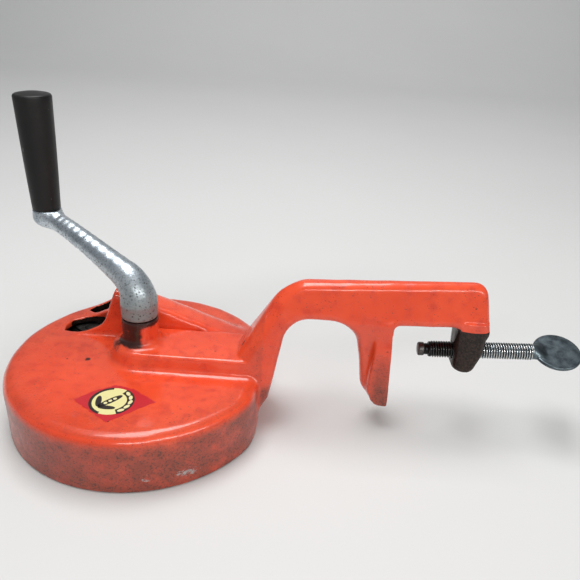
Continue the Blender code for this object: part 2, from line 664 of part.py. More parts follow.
clear_scene()
PARTS = new_collection("bean_slicer")
CUTTERS = new_collection("bean_slicer_cutters")
HUB = empty_at("hub", (HUB_X, 0, 0))
ROTOR = empty_at("rotor_axis", parent=HUB)
CRANK_PLANE = empty_at("crank_plane", rotation=(0, 0, CRANK_AZIMUTH), parent=ROTOR)
GRIP_AXIS = empty_at("grip_axis", (CRANK_REACH, 0, 0), parent=CRANK_PLANE)
SCREW_AXIS = empty_at(
    "screw_axis",
    (SCREW_TIP_X, 0, SCREW_POINT[1] - (SCREW_POINT[0] - SCREW_TIP_X) * math.tan(ARM_TILT)),
    (0, math.pi / 2 - ARM_TILT, 0), HUB)

make_housing()
make_rotor()
make_crank()
make_grip()
make_clamp_screw()
bpy.context.view_layer.update()
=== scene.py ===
import json
import math

import bmesh
import bpy
import numpy as np
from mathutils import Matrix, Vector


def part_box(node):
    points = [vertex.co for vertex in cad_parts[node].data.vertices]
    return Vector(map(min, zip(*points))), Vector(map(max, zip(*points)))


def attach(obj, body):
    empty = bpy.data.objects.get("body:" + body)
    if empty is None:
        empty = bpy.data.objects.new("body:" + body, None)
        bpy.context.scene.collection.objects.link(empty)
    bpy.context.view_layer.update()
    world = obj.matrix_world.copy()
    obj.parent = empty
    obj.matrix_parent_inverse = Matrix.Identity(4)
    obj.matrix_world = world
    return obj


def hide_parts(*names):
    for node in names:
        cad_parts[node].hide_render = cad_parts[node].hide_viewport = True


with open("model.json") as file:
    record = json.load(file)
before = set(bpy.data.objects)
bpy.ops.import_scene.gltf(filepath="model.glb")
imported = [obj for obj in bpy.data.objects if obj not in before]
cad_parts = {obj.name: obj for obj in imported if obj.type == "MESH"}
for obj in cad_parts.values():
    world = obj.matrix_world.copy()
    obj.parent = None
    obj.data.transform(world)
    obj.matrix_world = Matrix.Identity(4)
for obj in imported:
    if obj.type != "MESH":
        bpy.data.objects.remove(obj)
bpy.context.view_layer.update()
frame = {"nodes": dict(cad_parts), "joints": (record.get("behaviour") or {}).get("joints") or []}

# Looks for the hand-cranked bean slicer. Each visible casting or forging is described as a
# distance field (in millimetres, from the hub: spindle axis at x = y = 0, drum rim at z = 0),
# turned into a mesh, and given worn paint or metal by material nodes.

import openvdb
from mathutils import Matrix, Vector

MM = 0.001

# ------------------------------------------------------------------ places, from the frame


def box_mm(node):
    """A node's lowest and highest corners, in mm."""
    low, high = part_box(node)
    return Vector(low) / MM, Vector(high) / MM


def middle(node):
    low, high = box_mm(node)
    return (low + high) / 2


HUB_X = middle("spindle").x
GRIP_AXIS = middle("grip") - Vector((HUB_X, 0, 0))
SCREW_JOINT = {joint["name"]: joint for joint in frame["joints"]}["screw_turn"]
THREAD_PITCH = 1.5875
SPINDLE_HOLE = 6.3                   # radii of the holes that the moving pieces turn in
SCREW_HOLE = 5.5
GRIP_PIN_HOLE = 3.3

DRUM_RADIUS = box_mm("housing")[1].y - 0.15     # the ripples push the wall out by the rest
DRUM_HEIGHT = 38.2
DRUM_CORNER = 7.6
DRUM_WALL = 4.5
PLATE_UNDERSIDE = 34.0
BOSS_RADIUS = 11.5
BOSS_TOP = 67.2
PLATEAU_TOP = 48.9
HOOD_SLOPE = math.radians(20.6)
HOOD_ROOF = 60.2                     # the roof plane's distance from the hub
SHOULDER_TILT = math.radians(40)
DRUM_FLAT_X = 78.3                   # the drum's wall is flat on the arm's side
DRUM_FLAT_WALL = 3.3
BADGE_MIDDLE = Vector((-4.4, -51.8))
ARM_TILT = math.radians(2.55)        # how far the clamp screw and the jaws lean
JAW_FACE = (160.2, 50)               # the fixed jaw's clamping face, on the screw's height
LUG_START_X = 190                    # everything past here belongs to the lug

HUB_TO_ROW = Matrix.Translation((HUB_X * MM, 0, 0)) @ Matrix.Scale(MM, 4)

# ------------------------------------------------------------------ distance fields


class Grid:
    """Sample points over a box, in mm, with their distance fields turned into meshes."""

    def __init__(self, low, high, step):
        self.low, self.step = np.array(low, float), step
        counts = [int(math.ceil((h - l) / step)) + 1 for l, h in zip(low, high)]
        axes = [(l + step * np.arange(n)).astype(np.float32) for l, n in zip(low, counts)]
        self.x, self.y, self.z = np.meshgrid(*axes, indexing="ij", sparse=True)
        self.shape = tuple(counts)

    def mesh(self, name, field, faces_wanted, to_row):
        """The surface where the field is zero, as an object placed in the row's frame."""
        grid = openvdb.FloatGrid(4.0 * self.step)
        grid.copyFromArray(np.array(np.broadcast_to(field, self.shape), np.float32, order="C"))
        points, triangles, quads = grid.convertToPolygons(isovalue=0.0, adaptivity=0.0)
        points = points * self.step + self.low
        faces = [tuple(face) for face in quads.tolist() + triangles.tolist()]
        data = bpy.data.meshes.new(name)
        data.from_pydata(points.tolist(), [], faces)
        data.transform(to_row)
        obj = bpy.data.objects.new(name, data)
        bpy.context.scene.collection.objects.link(obj)
        if signed_volume(data) < 0:
            data.flip_normals()
        count = 2 * len(quads) + len(triangles)
        if count > faces_wanted:
            thin = obj.modifiers.new("thin", 'DECIMATE')
            thin.ratio = faces_wanted / count
            apply_modifiers(obj)
        obj.data.shade_smooth()
        return obj


def signed_volume(data):
    """The volume inside a closed mesh; negative if its faces point inwards."""
    data.calc_loop_triangles()
    corners = np.empty(len(data.loop_triangles) * 3, np.int32)
    data.loop_triangles.foreach_get("vertices", corners)
    points = np.empty(len(data.vertices) * 3)
    data.vertices.foreach_get("co", points)
    a, b, c = points.reshape(-1, 3)[corners.reshape(-1, 3)].transpose(1, 0, 2)
    return float(np.einsum("ij,ij->i", a, np.cross(b, c)).sum()) / 6


def apply_modifiers(obj):
    bpy.context.view_layer.update()
    evaluated = obj.evaluated_get(bpy.context.evaluated_depsgraph_get())
    data = bpy.data.meshes.new_from_object(evaluated)
    obj.modifiers.clear()
    old, obj.data = obj.data, data
    bpy.data.meshes.remove(old)


def union(a, b, blend=0.0):
    """Both shapes, with a fillet about as wide as blend where they meet."""
    if blend == 0:
        return np.minimum(a, b)
    near = np.maximum(blend - np.abs(a - b), 0) / blend
    return np.minimum(a, b) - near * near * blend / 4


def both(a, b, blend=0.0):
    """Only what is inside both shapes, with a rounded edge."""
    return -union(-a, -b, blend)


def cut(a, b, blend=0.0):
    """The first shape without the second."""
    return both(a, -b, blend)


def rounded_corner(a, b, radius):
    """The inside of two planes' distances, with a true arc of that radius on their edge."""
    qa, qb = a + radius, b + radius
    outside = np.hypot(np.maximum(qa, 0), np.maximum(qb, 0))
    return outside + np.minimum(np.maximum(qa, qb), 0) - radius


def smooth_step(value, low, high):
    t = np.clip((value - low) / (high - low), 0, 1)
    return t * t * (3 - 2 * t)


def arc(centre, radius, start, end, steps):
    """Points along an arc, angles in degrees."""
    angles = [math.radians(start + (end - start) * i / steps) for i in range(steps + 1)]
    return [(centre[0] + radius * math.cos(a), centre[1] + radius * math.sin(a)) for a in angles]


def rounded_outline(corners, arc_steps=8):
    """A closed outline from (x, z, radius) corners, each corner rounded by an arc."""
    points = []
    for i, (x, z, radius) in enumerate(corners):
        here = Vector((x, z))
        to_last = (Vector(corners[i - 1][:2]) - here).normalized()
        to_next = (Vector(corners[(i + 1) % len(corners)][:2]) - here).normalized()
        if radius == 0:
            points.append(tuple(here))
            continue
        half = to_last.angle(to_next) / 2
        centre = here + (to_last + to_next).normalized() * radius / math.sin(half)
        start = here + to_last * radius / math.tan(half) - centre
        turn = (here + to_next * radius / math.tan(half) - centre).angle_signed(start)
        for step in range(arc_steps + 1):
            points.append(tuple(centre + Matrix.Rotation(turn * step / arc_steps, 2) @ start))
    return points


def outline_distance(points, u, v):
    """Signed distance to a closed outline, negative inside, for arrays u and v."""
    nearest = np.full(np.broadcast(u, v).shape, 1e9, np.float32)
    inside = np.zeros(nearest.shape, bool)
    for (ax, ay), (bx, by) in zip(points, points[1:] + points[:1]):
        ex, ey = bx - ax, by - ay
        length = ex * ex + ey * ey
        if length < 1e-12:
            continue
        t = np.clip(((u - ax) * ex + (v - ay) * ey) / length, 0, 1)
        nearest = np.minimum(nearest, (u - ax - t * ex) ** 2 + (v - ay - t * ey) ** 2)
        if ay != by:
            crosses = ((ay > v) != (by > v)) & (u < ex * (v - ay) / ey + ax)
            inside ^= crosses
    distance = np.sqrt(nearest)
    return np.where(inside, -distance, distance)


def ripples(grid, wavelength, seed, waves=10):
    """A soft random field of about that wavelength, between -1 and 1, the same each run."""
    random = np.random.RandomState(seed)
    total = np.zeros(grid.shape, np.float32)
    for _ in range(waves):
        way = random.normal(size=3)
        way *= math.tau / wavelength / np.linalg.norm(way) * random.uniform(0.7, 1.4)
        phase = random.uniform(0, math.tau)
        total += np.sin(grid.x * way[0] + grid.y * way[1] + grid.z * way[2] + phase)
    return total / math.sqrt(waves * 2)


# ------------------------------------------------------------------ the casting

STEP = 0.75
SIDE_LEAN = 0.235                    # how fast the arm's sides close in, per mm of height


def side_half_width(z):
    """Half the width of the plateau and arm at a height: one leaning plane on each side."""
    return np.minimum(17.4 - SIDE_LEAN * (z - PLATEAU_TOP), 20.4)


def drum_field(grid, radius):
    plan = both(radius - DRUM_RADIUS, grid.x - DRUM_FLAT_X, 6)
    return both(rounded_corner(plan, grid.z - DRUM_HEIGHT, DRUM_CORNER), 0.03 - grid.z, 1.0)


def hollow_field(grid, radius):
    """The room under the top plate, where the disc turns."""
    plan = both(radius - (DRUM_RADIUS - DRUM_WALL), grid.x - (DRUM_FLAT_X - DRUM_FLAT_WALL), 4)
    return rounded_corner(plan, grid.z - PLATE_UNDERSIDE, 4)


def plateau_field(grid):
    """The raised bar from round the boss out to the arm."""
    from_line = np.hypot(np.minimum(grid.x, 0), grid.y)
    side = (from_line - side_half_width(grid.z)) * math.cos(math.atan(SIDE_LEAN))
    bar = both(side, grid.z - PLATEAU_TOP, 1.8)
    return both(both(bar, grid.x - 80), 36 - grid.z)


def under_roof(grid, skin):
    """Distance to the hood's roof: along the slope, then down over the far shoulder."""
    height = grid.x * math.sin(HOOD_SLOPE) + grid.z * math.cos(HOOD_SLOPE) - HOOD_ROOF
    far = (grid.y - 39.3) * math.sin(SHOULDER_TILT) + height * math.cos(SHOULDER_TILT)
    return both(height, far, 5) + skin


def hood_field(grid, radius):
    """The feed hood: a concave mouth, the sloping roof, and an upright near wall."""
    corners = [(-20.4, 78, 0), (-31.6, 46.3, 14), (-57, 34, 0), (75, 34, 0), (75, 78, 0)]
    mouth = outline_distance(rounded_outline(corners, 12), grid.x, grid.z)
    hood = both(under_roof(grid, 0), 19.8 - grid.y, 5)
    hood = both(hood, mouth, 1.2)
    return both(hood, radius - 82.3, 6)


def chute_fields(grid):
    """The two feed chutes: down through the top plate, and up to the roof's underside."""
    near = [(-60.5, 23.6, 1.2), (-50, 22.2, 6), (40, 22.2, 2), (40, 43.5, 2), (-50, 43.5, 8),
            (-59, 38, 5), (-61.5, 30, 5)]
    far = [(-46.5, 48.7, 5), (28, 48.7, 2), (28, 64, 2), (-41, 64, 4), (-50.5, 59.6, 3),
           (-53.4, 54, 1)]
    roof = np.maximum(under_roof(grid, 3.4), 31 - grid.z)
    fields = []
    for outline in (near, far):
        plan = outline_distance(rounded_outline(outline), grid.x, grid.y)
        fields.append(both(plan, roof, 1.5))
    return fields


ARM_CORNERS = [
    (57, 42, 0), (63, 48.9, 14), (91.5, 98.6, 26), (213.5, 105.6, 9), (219, 74, 3), (218, 68, 3),
    (200, 68, 2), (198.5, 77.6, 3), (158.5, 75.9, 3), (161, 22.6, 2), (151, 21.2, 6), (144, 28, 12),
    (141, 50, 18), (135, 76.5, 19), (94.5, 76.8, 17), (84.3, 22.5, 3), (79, 13.5, 3), (76.6, 11, 0),
    (76.6, 35, 0), (60, 36, 0),
]


def arm_field(grid):
    """The arm over the arch to both jaws, with leaning sides and rounded edges."""
    flat = outline_distance(rounded_outline(ARM_CORNERS), grid.x, grid.z)
    full = side_half_width(grid.z)
    thin = 6.3 + 4.6 * smooth_step(grid.z, 56, 78)
    half_width = np.where(grid.x < 115, full, np.minimum(full, thin))
    side = (np.abs(grid.y) - half_width) * math.cos(math.atan(SIDE_LEAN))
    rise = (grid.z - 48.9) * 0.497 - (grid.x - 63) * 0.867
    soft = 4.3 + 4.7 * smooth_step(rise, -16, -4) * smooth_step(-grid.x, -106, -90)
    return rounded_corner(flat, side, soft)


def from_jaw_face(grid):
    """Distance from the clamping face, away from the screw below zero, and height along it."""
    cos, sin = math.cos(ARM_TILT), math.sin(ARM_TILT)
    x, z = grid.x - JAW_FACE[0], grid.z - JAW_FACE[1]
    return x * cos + z * sin, z * cos - x * sin


def jaw_pad_field(grid):
    """The broad pad on the fixed jaw, square to the clamp screw."""
    back, up = from_jaw_face(grid)
    corners = [(-9, 27, 6), (0, 27, 1), (0, -31, 1.5), (-9, -32, 7), (-13.5, -21, 9)]
    flat = outline_distance(rounded_outline(corners), back, up)
    half_width = 14.6 + 0.25 * back - 4.2 * smooth_step(up, 6, 26)
    return rounded_corner(flat, np.abs(grid.y) - half_width, 1.6)


def lug_field(grid):
    """The lug under the arm's end: round at the sides, flat at the foot."""
    inner = 198.1 + (80 - grid.z) * 0.055
    outer = np.minimum(217.3, 217.3 - (60 - grid.z) * 0.36)
    section = np.maximum(rounded_corner(inner - grid.x, np.abs(grid.y) - 11, 7.5),
                         rounded_corner(grid.x - outer, np.abs(grid.y) - 11, 4.5))
    return both(rounded_corner(section, 46.2 - grid.z, 3.5), grid.z - 82)


def rod_distance(grid, point, tilt):
    """Distance from a line through a point, lying in the XZ plane at a tilt."""
    x, z = grid.x - point[0], grid.z - point[1]
    return np.hypot(z * math.cos(tilt) - x * math.sin(tilt), grid.y)


def make_housing():
    low, high = box_mm("housing")
    margin = 3
    grid = Grid((low.x - HUB_X - margin, low.y - margin, low.z - margin),
                (high.x - HUB_X + margin, high.y + margin, high.z + margin), STEP)
    radius = np.hypot(grid.x, grid.y)
    bar = union(plateau_field(grid), arm_field(grid))
    body = union(drum_field(grid, radius), bar, 3.5)
    boss = both(radius - BOSS_RADIUS, np.maximum(grid.z - BOSS_TOP, 40 - grid.z), 1.0)
    body = union(body, boss, 7)
    body = union(body, hood_field(grid, radius), 3)
    body = union(body, jaw_pad_field(grid), 5)
    past_jaw = from_jaw_face(grid)[0] - 60 * smooth_step(grid.z, 70, 77)
    body = np.where(grid.x < LUG_START_X, np.maximum(body, past_jaw), body)
    body = union(body, lug_field(grid), 0.8)
    off_badge = smooth_step(np.hypot(grid.x - BADGE_MIDDLE.x, grid.y - BADGE_MIDDLE.y), 28, 40)
    body = body + 0.10 * ripples(grid, 16, seed=3) * smooth_step(grid.z, 2, 8) * off_badge
    on_jaw = smooth_step(grid.x, 146, 152) * smooth_step(-grid.x, -159.5, -157.5)
    on_jaw = on_jaw * smooth_step(-grid.z, -68, -46)
    body = body + 0.2 * ripples(grid, 3.0, seed=8, waves=14) * on_jaw
    body = cut(body, hollow_field(grid, radius), 1.0)
    for chute in chute_fields(grid):
        body = cut(body, chute, 0.9)
    body = cut(body, radius - SPINDLE_HOLE, 0.6)
    anchor = Vector(SCREW_JOINT["pos_m"]) / MM
    screw_hole = rod_distance(grid, (anchor.x - HUB_X, anchor.z), ARM_TILT) - SCREW_HOLE
    body = cut(body, both(screw_hole, LUG_START_X - grid.x), 0.8)
    return grid.mesh("casting", body, 190_000, HUB_TO_ROW)


# ------------------------------------------------------------------ crank, grip and screw

CRANK_AZIMUTH = math.atan2(GRIP_AXIS.y, GRIP_AXIS.x)
CRANK_REACH = math.hypot(GRIP_AXIS.x, GRIP_AXIS.y)
CRANK_FRAME = HUB_TO_ROW @ Matrix.Rotation(CRANK_AZIMUTH, 4, 'Z')


def crank_path():
    """The crank's centre line (reach, z) with its radius, from the hub out to the eye."""
    line = [(0.0, 60.0), (0.0, 77.0)] + arc((17, 77), 17, 180, 112, 10)[1:]
    first, control, last = Vector(line[-1]), Vector((59.7, 112.7)), Vector((CRANK_REACH, 115.0))
    for i in range(1, 15):
        t = i / 14
        line.append(tuple(first * (1 - t) ** 2 + control * 2 * t * (1 - t) + last * t ** 2))
    radii, run = [11.5, 11.5], 0.0
    for a, b in zip(line[1:], line[2:]):
        run += math.dist(a, b)
        radii.append(5.2 + 6.3 * math.exp(-run / 38))
    return line, radii


def tapered_rod(x, y, z, start, end, radius_a, radius_b):
    """Distance to a rod between two (x, z) points whose radius changes evenly."""
    ex, ez = end[0] - start[0], end[1] - start[1]
    t = np.clip(((x - start[0]) * ex + (z - start[1]) * ez) / (ex * ex + ez * ez), 0, 1)
    off = np.sqrt((x - start[0] - t * ex) ** 2 + y ** 2 + (z - start[1] - t * ez) ** 2)
    return off - (radius_a + (radius_b - radius_a) * t)


def make_crank():
    low, high = box_mm("crank")
    step = 0.5
    grid = Grid((-14, -14, low.z - 2), (CRANK_REACH + 11, 14, high.z + 2), step)
    line, radii = crank_path()
    body = None
    for (start, end), (ra, rb) in zip(zip(line, line[1:]), zip(radii, radii[1:])):
        rod = tapered_rod(grid.x, grid.y, grid.z, start, end, ra, rb)
        body = rod if body is None else union(body, rod, 0.6)
    eye_off = np.hypot(grid.x - CRANK_REACH, grid.y)
    eye = rounded_corner(eye_off - 8.8, 110.4 - grid.z, 4.5)
    body = union(body, eye, 6)
    body = both(body, grid.z - high.z, 0.8)
    body = both(body, low.z - grid.z, 1.2)
    body = cut(body, both(np.hypot(grid.x, grid.y) - SPINDLE_HOLE, grid.z - 84.3))
    body = cut(body, eye_off - GRIP_PIN_HOLE)
    body = body + 0.05 * ripples(grid, 9, seed=5)
    return grid.mesh("crank_forging", body, 60_000, CRANK_FRAME)


def turned(name, profile, steps, to_row):
    """A closed solid of revolution about Z from a (radius, z) profile that ends on the axis."""
    bm = bmesh.new()
    chain = [bm.verts.new((r, 0, z)) for r, z in profile]
    edges = [bm.edges.new(pair) for pair in zip(chain, chain[1:])]
    bmesh.ops.spin(bm, geom=chain + edges, axis=(0, 0, 1), cent=(0, 0, 0), steps=steps,
                   angle=math.tau, use_merge=True)
    bmesh.ops.remove_doubles(bm, verts=bm.verts, dist=1e-4)
    bmesh.ops.recalc_face_normals(bm, faces=bm.faces)
    bmesh.ops.transform(bm, matrix=to_row, verts=bm.verts)
    data = bpy.data.meshes.new(name)
    bm.to_mesh(data)
    bm.free()
    obj = bpy.data.objects.new(name, data)
    bpy.context.scene.collection.objects.link(obj)
    data.shade_smooth()
    data.set_sharp_from_angle(angle=math.radians(40))
    return obj


def make_grip():
    """The wooden grip: a plain cone, widest at the top, softly domed, hollow for its pin."""
    low, high = box_mm("grip")
    foot_radius, top_radius = 8.85, 11.4
    profile = [(0, high.z)]
    for r in np.linspace(1.5, top_radius - 1.8, 8):
        profile.append((r, high.z - 1.3 * (r / (top_radius - 1.6)) ** 2))
    profile += arc((top_radius - 1.9, high.z - 3.1), 1.9, 75, 4, 6)
    for i in range(1, 16):
        t = i / 16
        radius = top_radius + (foot_radius - top_radius) * t + 0.18 * math.sin(math.pi * t)
        profile.append((radius, high.z - 3.0 + (low.z + 1.2 - high.z + 3.0) * t))
    profile += arc((foot_radius - 0.9, low.z + 0.9), 0.9, 0, -90, 4)
    pin_top = 180.3
    profile += [(GRIP_PIN_HOLE, low.z), (GRIP_PIN_HOLE, pin_top), (0, pin_top)]
    place = HUB_TO_ROW @ Matrix.Translation((GRIP_AXIS.x, GRIP_AXIS.y, 0))
    return turned("wooden_grip", profile, 64, place)


def make_screw():
    """The thumb screw along its own axis: neck, real thread, and a plate forged flat."""
    step = 0.26
    tip = Vector(SCREW_JOINT["pos_m"])
    outwards = -Vector(SCREW_JOINT["axis"]).normalized()
    end_x = box_mm("clamp_screw")[1].x
    length = (end_x - tip.x / MM) / outwards.x
    grid = Grid((-16, -16, 0.5), (16, 16, length + 1.5), step)
    radius = np.hypot(grid.x, grid.y)
    turns = grid.z / THREAD_PITCH - np.arctan2(grid.y, grid.x) / math.tau
    ridge = 1 - np.abs(2 * (turns - np.floor(turns)) - 1)
    ridge = smooth_step(ridge, 0.12, 0.88)
    thread_end = length - 30.5
    along = grid.z - thread_end
    fade = smooth_step(grid.z, 7.0, 9.5) * smooth_step(-along, -1.5, 1.5)
    crest, core = 5.3, 4.3
    rod_radius = core + (crest - core) * (ridge * fade + 0.55 * (1 - fade))
    rod = both((radius - rod_radius) * 0.8, np.maximum(6.6 - grid.z, grid.z - thread_end), 0.8)
    neck = both(radius - 3.6, np.maximum(4.3 - grid.z, grid.z - 8), 0.4)
    pin = both(radius - 2.0, np.maximum(1.5 - grid.z, grid.z - 8))
    plate_radius = 14.95
    plate_off = np.hypot(grid.x * 1.02, grid.z - (length - 15))
    plate = rounded_corner(plate_off - plate_radius, np.abs(grid.y) - 1.55 + 0.02 * plate_off, 1.1)
    half_broad = 4.7 + 4.5 * smooth_step(along, -1, 11)
    half_thick = 4.7 - 3.7 * smooth_step(along, -1, 11)
    blade = (np.hypot(grid.x / half_broad, grid.y / half_thick) - 1) * half_thick
    blade = both(blade, np.abs(along - 5) - 7, 0.6)
    body = union(union(union(rod, neck, 0.5), pin), union(plate, blade, 0.6), 0.8)
    sideways = Vector((0, 1, 0))
    up = outwards.cross(sideways)
    twist = math.radians(17)
    broad = sideways * math.cos(twist) + up * math.sin(twist)
    thick = outwards.cross(broad)
    turn = Matrix((broad, thick, outwards)).transposed().to_4x4()
    place = Matrix.Translation(tip) @ turn @ Matrix.Scale(MM, 4)
    return grid.mesh("thumb_screw", body, 120_000, place)


def make_button():
    """The small turned button on the screw's tip."""
    tip = Vector(SCREW_JOINT["pos_m"])
    outwards = -Vector(SCREW_JOINT["axis"]).normalized()
    turn = outwards.to_track_quat('Z', 'Y').to_matrix().to_4x4()
    profile = [(0, 1.2), (2.3, 1.2), (2.3, 4.0), (3.6, 4.0)]
    profile += arc((3.5, 3.2), 0.8, 80, 0, 4) + arc((3.3, 1.0), 1.0, 0, -90, 5) + [(0, 0)]
    return turned("tip_button", profile, 40, Matrix.Translation(tip) @ turn @ Matrix.Scale(MM, 4))


# ------------------------------------------------------------------ badge

def ragged(outline, amount, seed):
    """An outline cut into short steps, each pushed about a little, like torn paper."""
    random = np.random.RandomState(seed)
    points = []
    for (ax, ay), (bx, by) in zip(outline, outline[1:] + outline[:1]):
        steps = max(int(math.dist((ax, ay), (bx, by)) / 1.3), 1)
        for i in range(steps):
            t = i / steps
            push = random.uniform(-amount, amount, 2)
            points.append((ax + (bx - ax) * t + push[0], ay + (by - ay) * t + push[1]))
    return points


def band(centre, inner, outer, start, end, steps=28):
    """Part of a flat ring, between two angles in degrees."""
    return arc(centre, outer, start, end, steps) + arc(centre, inner, end, start, steps)


def leaf(place, length, width, angle):
    """An oval with pointed ends, for the pod, its seeds, the leaves and the beans."""
    cos, sin = math.cos(math.radians(angle)), math.sin(math.radians(angle))
    points = []
    for a in np.linspace(0, math.tau, 29)[:-1]:
        narrow = 3 if abs(math.sin(a)) < 0.3 else 1
        u, v = length / 2 * math.cos(a), width / 2 * math.sin(a) ** narrow
        points.append((place[0] + u * cos - v * sin, place[1] + u * sin + v * cos))
    return points


def flat_piece(name, outlines, high):
    """Thin flat shapes on the drum's top, as one piece, from outlines in hub millimetres."""
    bm = bmesh.new()
    for outline in outlines:
        face = bm.faces.new([bm.verts.new((x, y, DRUM_HEIGHT - 0.1)) for x, y in outline])
        raised = bmesh.ops.extrude_face_region(bm, geom=[face], use_keep_orig=True)
        tops = [v for v in raised["geom"] if isinstance(v, bmesh.types.BMVert)]
        bmesh.ops.translate(bm, vec=(0, 0, high + 0.1), verts=tops)
    bmesh.ops.recalc_face_normals(bm, faces=bm.faces)
    bmesh.ops.triangulate(bm, faces=bm.faces)
    bmesh.ops.transform(bm, matrix=HUB_TO_ROW, verts=bm.verts)
    data = bpy.data.meshes.new(name)
    bm.to_mesh(data)
    bm.free()
    obj = bpy.data.objects.new(name, data)
    bpy.context.scene.collection.objects.link(obj)
    return obj


def make_badge():
    """A torn diamond label with a round field: a pod, two leaves and a border of beans."""
    middle_x, middle_y = BADGE_MIDDLE
    paper = ragged([(-26.7, -52.8), (-2.1, -70.5), (20.9, -49.8), (4.5, -39.0), (-6.1, -36.0),
                    (-17.5, -43.5)], 0.45, seed=4)
    field = arc(BADGE_MIDDLE, 12.5, 0, 360, 56)[:-1]
    border = [band(BADGE_MIDDLE, 11.2, 13.0, 100, 250), band(BADGE_MIDDLE, 8.6, 13.0, -62, 62)]
    beans = []
    for angle in (-46, -23, 0, 23, 46):
        out = math.radians(angle)
        place = (middle_x + 10.8 * math.cos(out), middle_y + 10.8 * math.sin(out))
        beans.append(leaf(place, 4.2, 2.2, angle + 78))
    root = BADGE_MIDDLE + Vector((-6.5, -6.0))
    sprig = []
    for angle, length, width in ((0.82, 16.5, 4.2), (1.75, 10.5, 3.4), (-0.02, 10.5, 3.4)):
        way = Vector((math.cos(angle), math.sin(angle)))
        sprig.append(leaf(root + way * length * 0.5, length, width, math.degrees(angle)))
    pod_way = Vector((math.cos(0.82), math.sin(0.82)))
    seeds = [leaf(root + pod_way * distance, 2.3, 1.9, 47) for distance in (5.2, 8.3, 11.4)]
    black, cream = (0.020, 0.014, 0.012), (0.74, 0.68, 0.36)
    return [
        (flat_piece("badge_paper", [paper], 0.10), (0.50, 0.012, 0.020), (0.33, 0.02, 0.015)),
        (flat_piece("badge_field", [field], 0.15), (0.72, 0.66, 0.30), (0.50, 0.40, 0.20)),
        (flat_piece("badge_ink", border + sprig, 0.20), black, (0.10, 0.06, 0.04)),
        (flat_piece("badge_beans", beans + seeds, 0.25), cream, (0.50, 0.40, 0.22)),
    ]


# ------------------------------------------------------------------ materials


class Paintbox:
    """A small helper that writes a material's nodes."""

    def __init__(self, name):
        self.material = bpy.data.materials.new(name)
        self.material.use_nodes = True
        self.tree = self.material.node_tree
        self.shader = self.tree.nodes["Principled BSDF"]
        self.coords = self.add("ShaderNodeTexCoord").outputs["Object"]

    def add(self, kind, **settings):
        node = self.tree.nodes.new(kind)
        for key, value in settings.items():
            setattr(node, key, value)
        return node

    def link(self, value, socket):
        if isinstance(value, bpy.types.NodeSocket):
            self.tree.links.new(value, socket)
        elif isinstance(value, tuple) and len(value) == 3 and socket.type == 'RGBA':
            socket.default_value = (*value, 1)
        else:
            socket.default_value = value

    def noise(self, scale, detail=3.0, rough=0.55, stretch=None):
        coords = self.coords
        if stretch:
            mapping = self.add("ShaderNodeMapping")
            self.link(coords, mapping.inputs["Vector"])
            mapping.inputs["Scale"].default_value = stretch
            coords = mapping.outputs["Vector"]
        node = self.add("ShaderNodeTexNoise")
        self.link(coords, node.inputs["Vector"])
        node.inputs["Scale"].default_value = scale
        node.inputs["Detail"].default_value = detail
        node.inputs["Roughness"].default_value = rough
        return node.outputs["Fac"]

    def spots(self, scale, size, softness=0.3):
        """Small round marks: 1 inside them, 0 outside."""
        node = self.add("ShaderNodeTexVoronoi")
        self.link(self.coords, node.inputs["Vector"])
        node.inputs["Scale"].default_value = scale
        return self.step(node.outputs["Distance"], size, size * (1 - softness))

    def step(self, value, low, high):
        """0 below low and 1 above high, smoothly; low above high turns it round."""
        node = self.add("ShaderNodeMapRange", interpolation_type='SMOOTHSTEP')
        self.link(value, node.inputs["Value"])
        if low < high:
            limits = (low, high, 0.0, 1.0)
        else:
            limits = (high, low, 1.0, 0.0)
        for name, limit in zip(("From Min", "From Max", "To Min", "To Max"), limits):
            node.inputs[name].default_value = limit
        return node.outputs["Result"]

    def math(self, operation, a, b):
        node = self.add("ShaderNodeMath", operation=operation)
        self.link(a, node.inputs[0])
        self.link(b, node.inputs[1])
        return node.outputs[0]

    def times(self, a, b):
        return self.math('MULTIPLY', a, b)

    def most(self, a, b):
        return self.math('MAXIMUM', a, b)

    def ragged(self, value, noise, middle=0.5, amount=1.0):
        """The value, pushed up and down by a noise about that middle."""
        return self.math('ADD', value, self.times(self.math('SUBTRACT', noise, middle), amount))

    def mix(self, factor, a, b):
        node = self.add("ShaderNodeMix", data_type='RGBA')
        self.link(factor, node.inputs["Factor"])
        self.link(a, node.inputs[6])
        self.link(b, node.inputs[7])
        return node.outputs[2]

    def blend(self, factor, a, b):
        node = self.add("ShaderNodeMix", data_type='FLOAT')
        self.link(factor, node.inputs["Factor"])
        self.link(a, node.inputs[2])
        self.link(b, node.inputs[3])
        return node.outputs[0]

    def attribute(self, name):
        return self.add("ShaderNodeAttribute", attribute_name=name).outputs["Fac"]

    def height_above_foot(self):
        """The height on the object, in metres."""
        node = self.add("ShaderNodeSeparateXYZ")
        self.link(self.coords, node.inputs[0])
        return node.outputs["Z"]

    def bump(self, height, distance, strength):
        node = self.add("ShaderNodeBump")
        node.inputs["Strength"].default_value = strength
        node.inputs["Distance"].default_value = distance
        self.link(height, node.inputs["Height"])
        return node.outputs["Normal"]

    def finish(self, colour, roughness, normal=None, metallic=0.0, **constants):
        self.link(colour, self.shader.inputs["Base Color"])
        self.link(roughness, self.shader.inputs["Roughness"])
        self.link(metallic, self.shader.inputs["Metallic"])
        if normal is not None:
            self.link(normal, self.shader.inputs["Normal"])
        for name, value in constants.items():
            self.shader.inputs[name.replace("_", " ")].default_value = value
        return self.material


